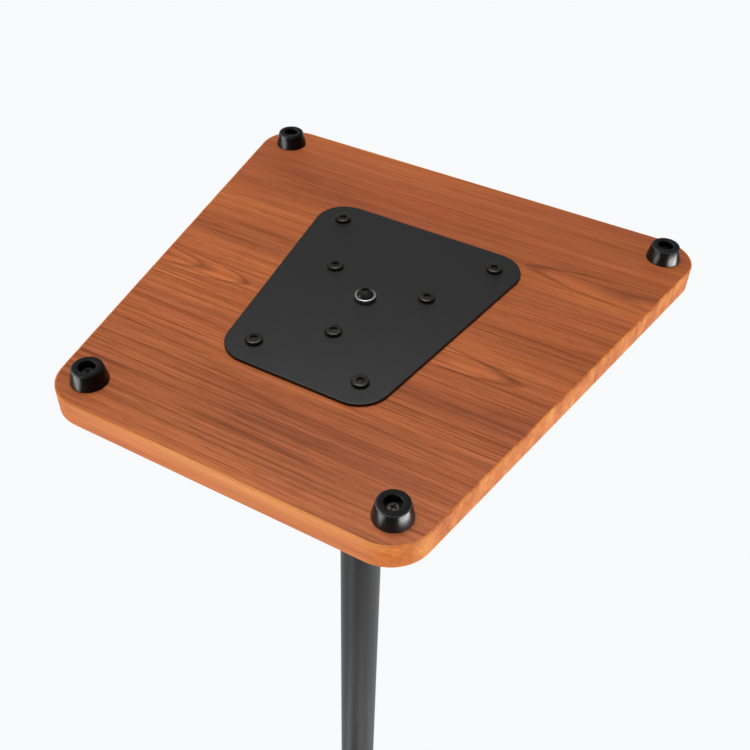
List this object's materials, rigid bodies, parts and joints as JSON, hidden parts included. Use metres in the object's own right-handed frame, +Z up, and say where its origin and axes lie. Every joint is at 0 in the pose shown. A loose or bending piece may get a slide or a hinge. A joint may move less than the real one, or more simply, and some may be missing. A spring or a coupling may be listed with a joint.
{
  "type": "speaker stand",
  "caption": "Floor stand for a bookshelf loudspeaker: trapezoid wood base on rubber feet with a steel plate beneath, round steel column, smaller wood top with anti-slip pads.",
  "frame": {"origin": "centre of the bounding box on the floor, on the column's axis", "axes": "+Z up along the column, -Y towards the boards' narrow front edge, +X to the right seen from the front"},
  "size_m": [0.3274, 0.32, 0.914],
  "materials": {
    "wood_laminate": "red-brown wood-grain laminate on fibreboard, satin",
    "edge_band": "lighter orange-brown wood-grain edge band, satin",
    "black_powder_coat": "fine matt black powder coat",
    "column_paint": "satin black-grey paint",
    "black_screw": "black oxide, slightly oily gloss",
    "zinc": "dull zinc plate",
    "foot_rubber": "smooth moulded black rubber, semi-gloss",
    "pad_foam": "matt black anti-slip pad"
  },
  "bodies": {
    "root": {"base_board": "wood_laminate", "top_board": "wood_laminate", "base_edge_band": "edge_band", "top_edge_band": "edge_band", "base_plate": "black_powder_coat", "column_tube": "column_paint", "base_flange": "column_paint", "top_flange": "column_paint", "plate_screws": "black_screw", "base_flange_screws": "black_screw", "base_centre_bolt": "black_screw", "top_flange_screws": "black_screw", "top_centre_bolt": "black_screw", "foot_screws": "black_screw", "base_flat_washer": "zinc", "top_flat_washer": "zinc", "base_spring_washer": "zinc", "top_spring_washer": "zinc", "foot_washers": "zinc", "plate_inserts": "zinc", "base_column_plug": "zinc", "top_column_plug": "zinc", "foot_front_left": "foot_rubber", "top_pad_front_left": "pad_foam", "foot_front_right": "foot_rubber", "top_pad_front_right": "pad_foam", "foot_back_right": "foot_rubber", "top_pad_back_right": "pad_foam", "foot_back_left": "foot_rubber", "top_pad_back_left": "pad_foam"}
  },
  "joints": []
}
